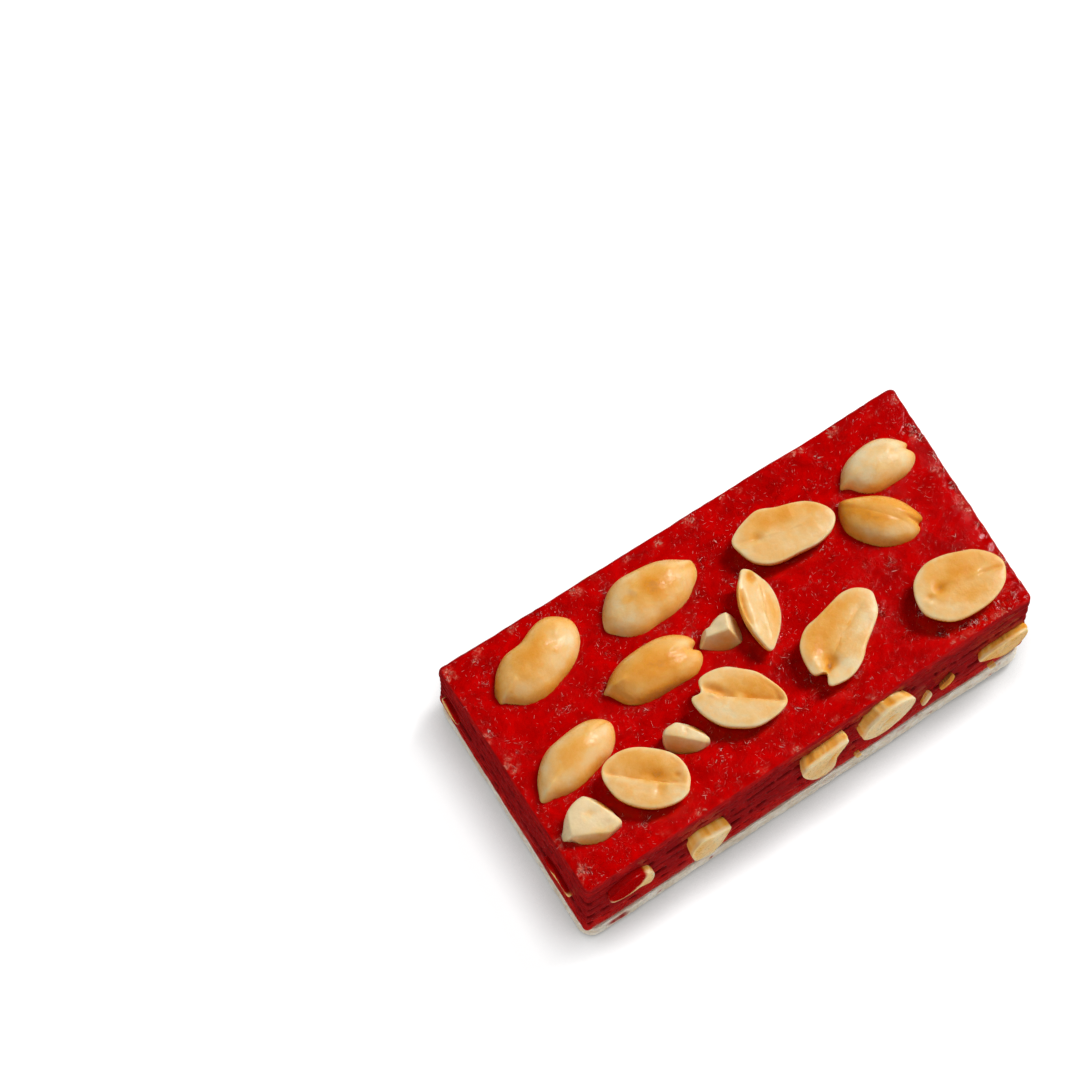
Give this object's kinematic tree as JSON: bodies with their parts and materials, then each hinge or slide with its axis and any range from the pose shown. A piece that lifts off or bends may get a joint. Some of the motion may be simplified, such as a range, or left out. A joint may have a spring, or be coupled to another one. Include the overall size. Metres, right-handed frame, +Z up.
{
  "type": "layered nougat bar with peanuts",
  "caption": "Rectangular sweet bar: glossy red fruit jelly pressed from thin sheets on a thin white nougat base, with roasted peanuts on top and in the sides.",
  "frame": {"origin": "middle of the bar's bounding box, on its flat white underside", "axes": "+X along the bar's long side, +Y across it, +Z up out of the peanut side"},
  "size_m": [0.0879, 0.0479, 0.0227],
  "materials": {
    "red_jelly": "glossy translucent fruit jelly",
    "white_nougat": "matte soft white nougat",
    "peanut": "satin roasted peanut"
  },
  "bodies": {
    "root": {"nougat_base": "white_nougat", "peanut_back_left": "peanut", "peanut_back_middle": "peanut", "peanut_back_right": "peanut", "peanut_bit_corner": "peanut", "peanut_bit_front": "peanut", "peanut_bit_middle": "peanut", "peanut_corner_right": "peanut", "peanut_far_left": "peanut", "peanut_front_middle": "peanut", "peanut_front_right": "peanut", "peanut_middle": "peanut", "peanut_near_left": "peanut", "peanut_near_middle": "peanut", "peanut_right": "peanut", "peanut_sliver": "peanut", "red_jelly": "red_jelly", "side_nut_back_1": "peanut", "side_nut_back_2": "peanut", "side_nut_back_3": "peanut", "side_nut_back_4": "peanut", "side_nut_front_1": "peanut", "side_nut_front_2": "peanut", "side_nut_front_3": "peanut", "side_nut_front_4": "peanut", "side_nut_front_5": "peanut", "side_nut_left_1": "peanut", "side_nut_left_2": "peanut", "side_nut_right_1": "peanut", "side_nut_right_2": "peanut"}
  },
  "joints": []
}
